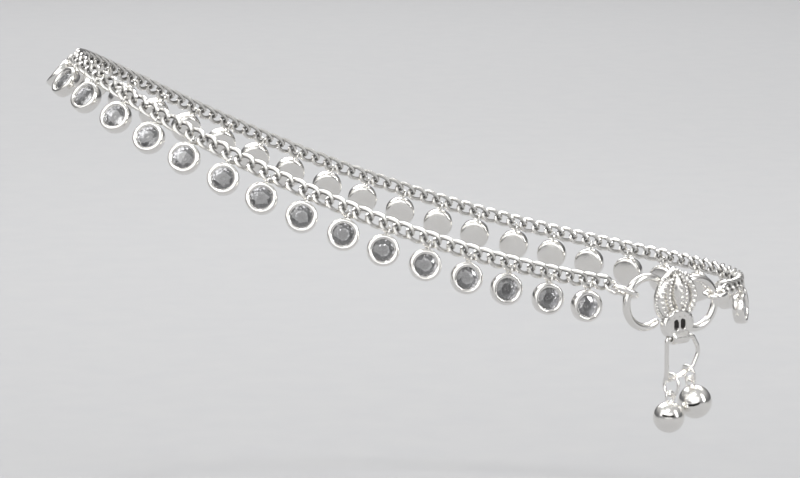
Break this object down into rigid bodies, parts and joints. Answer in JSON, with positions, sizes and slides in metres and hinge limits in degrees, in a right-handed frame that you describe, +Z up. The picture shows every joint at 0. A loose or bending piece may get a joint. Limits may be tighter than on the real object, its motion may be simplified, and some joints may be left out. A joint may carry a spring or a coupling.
{
  "type": "payal anklet",
  "caption": "Silver curb-chain payal anklet with hanging round stone drops, an S-hook clasp with a cast floral motif and a pair of small bells.",
  "frame": {"origin": "middle of the ankle hollow, at the loop's mean height, where the anklet sits on the ankle", "axes": "+Z up the leg, +X towards the heel, -Y to the side that shows the clasp"},
  "size_m": [0.1052, 0.0587, 0.055],
  "materials": {
    "silver": "polished silver",
    "stone": "clear faceted"
  },
  "bodies": {
    "anklet": {"connector_front": "silver", "connector_heel": "silver", "curb_chain": "silver", "drop_01": "silver", "drop_02": "silver", "drop_03": "silver", "drop_04": "silver", "drop_05": "silver", "drop_06": "silver", "drop_07": "silver", "drop_08": "silver", "drop_09": "silver", "drop_10": "silver", "drop_11": "silver", "drop_12": "silver", "drop_13": "silver", "drop_14": "silver", "drop_15": "silver", "drop_16": "silver", "drop_17": "silver", "drop_18": "silver", "drop_19": "silver", "drop_20": "silver", "drop_21": "silver", "drop_22": "silver", "drop_23": "silver", "drop_24": "silver", "drop_25": "silver", "drop_26": "silver", "drop_27": "silver", "drop_28": "silver", "drop_29": "silver", "drop_30": "silver", "drop_31": "silver", "drop_32": "silver", "drop_33": "silver", "drop_34": "silver", "drop_35": "silver", "drop_36": "silver", "drop_37": "silver", "drop_38": "silver", "end_ring_front": "silver", "end_ring_heel": "silver", "s_hook": "silver", "stones": "stone"},
    "bell_drop": {"bell_1": "silver", "bell_2": "silver", "bell_loop": "silver", "bell_pellet_1": "silver", "bell_pellet_2": "silver", "bell_ring_1": "silver", "bell_ring_2": "silver"}
  },
  "joints": [
    {"name": "bell_swing", "type": "hinge", "parent": "anklet", "child": "bell_drop", "pos_m": [0.03678, -0.02025, -0.01926], "axis": [-0.8746, -0.4848, 0], "range_deg": [-60, 85]}
  ]
}
